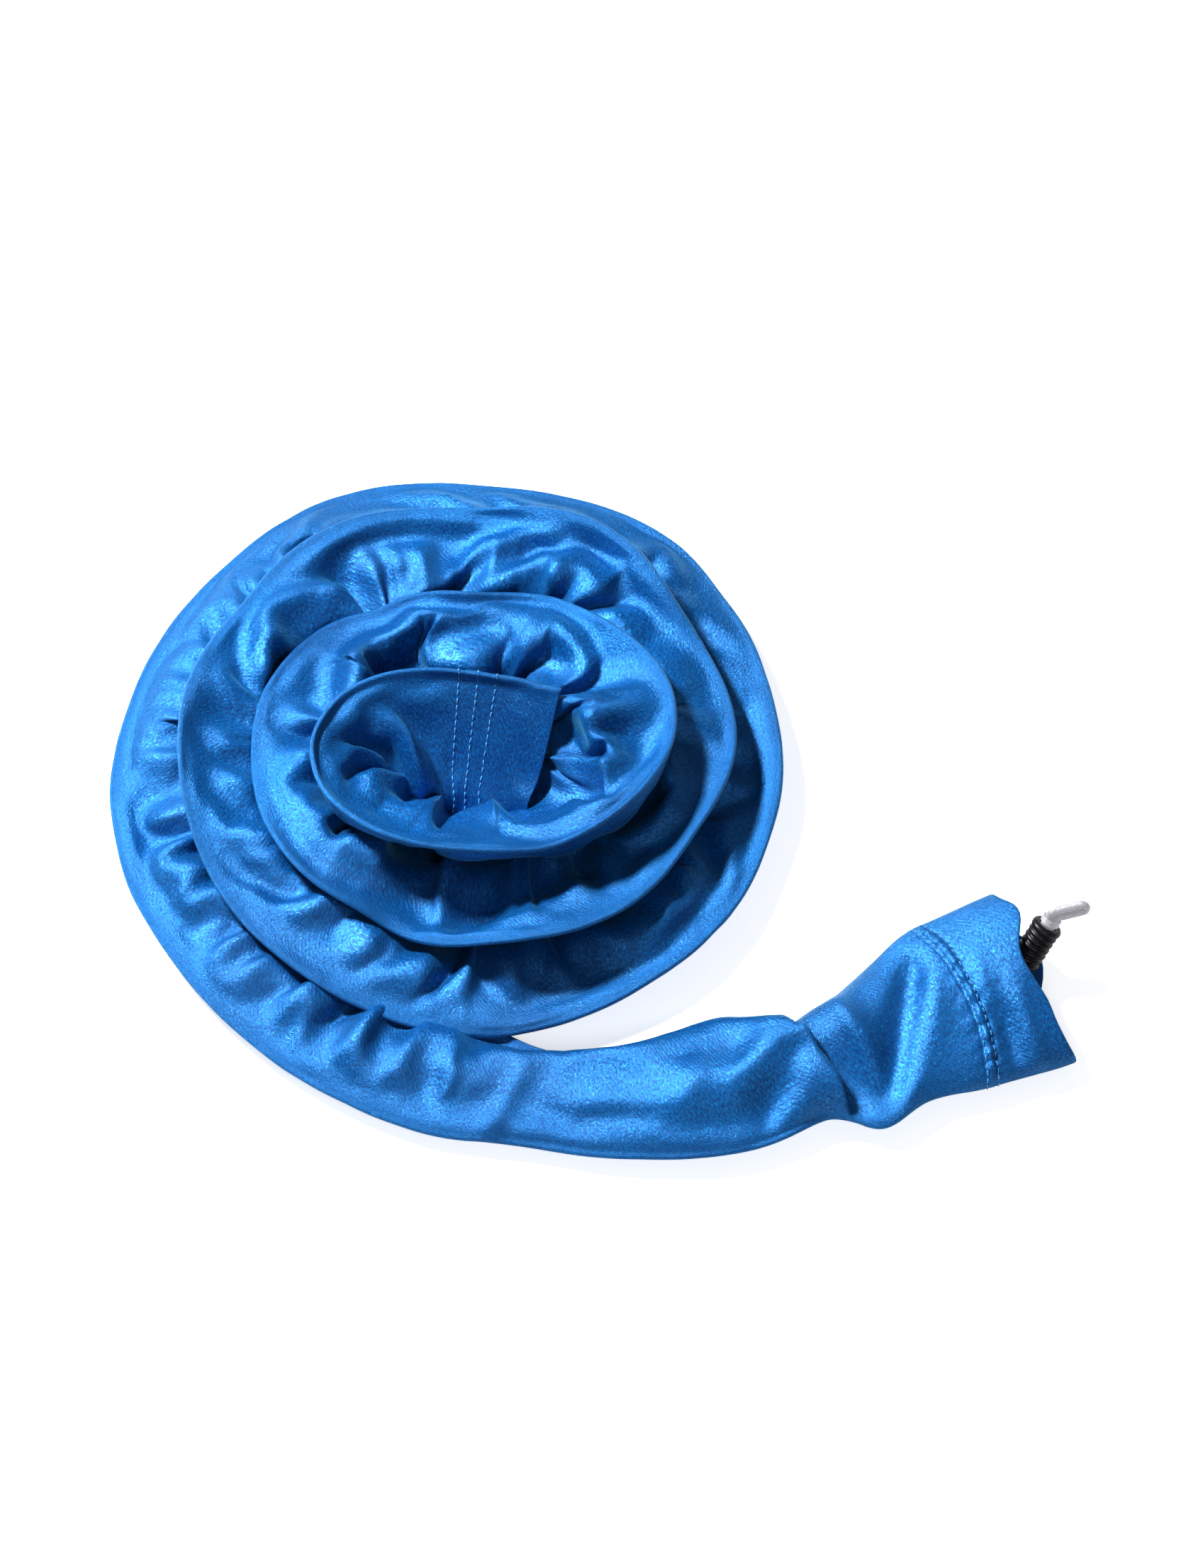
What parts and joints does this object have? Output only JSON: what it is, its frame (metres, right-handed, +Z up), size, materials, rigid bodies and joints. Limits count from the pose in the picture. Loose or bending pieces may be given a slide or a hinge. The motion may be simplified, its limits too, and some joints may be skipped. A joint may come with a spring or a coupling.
{
  "type": "rhythmic hoop sleeve",
  "caption": "Long satin tube cover for a gymnastics hoop, rolled into a flat coil, with an elastic drawcord, a ribbed stopper and a pull loop at its open mouth.",
  "frame": {"origin": "middle of the bounding box, on the floor the coil lies on", "axes": "+X along the longest side, towards the open mouth; +Z up, the shortest side"},
  "size_m": [0.3435, 0.2763, 0.0476],
  "materials": {
    "blue satin": "satin weave with a strong sheen",
    "blue thread": "matt sewing thread",
    "silver elastic": "braided elastic",
    "black rubber": "moulded, slightly glossy"
  },
  "bodies": {
    "coil": {"sleeve_coil": "blue satin", "inner_hem_facing": "blue satin", "inner_stitch_row_1": "blue thread", "inner_stitch_row_2": "blue thread", "inner_stitch_row_3": "blue thread", "side_seam_coil": "blue thread"},
    "cuff": {"sleeve_cuff": "blue satin", "hem_facing": "blue satin", "side_seam_cuff": "blue thread", "channel_stitch_row_front": "blue thread", "channel_stitch_row_rear": "blue thread", "channel_cord_near": "silver elastic", "channel_cord_far": "silver elastic", "cord_knot": "silver elastic", "exit_eyelet": "blue thread"},
    "stopper": {"cord_stopper": "black rubber"},
    "loop": {"pull_loop": "silver elastic", "loop_whipping": "silver elastic"}
  },
  "joints": [
    {"name": "cuff_swing", "type": "hinge", "parent": "coil", "child": "cuff", "pos_m": [0.07436, -0.09945, 0.00773], "axis": [0, 0, 1], "range_deg": [-15, 15]},
    {"name": "stopper_slide", "type": "slide", "parent": "cuff", "child": "stopper", "axis": [0.4801, 0.4201, 0.7701], "range_m": [-0.0025, 0]},
    {"name": "loop_pull", "type": "slide", "parent": "cuff", "child": "loop", "axis": [0.4801, 0.4201, 0.7701], "range_m": [0, 0.015]}
  ]
}
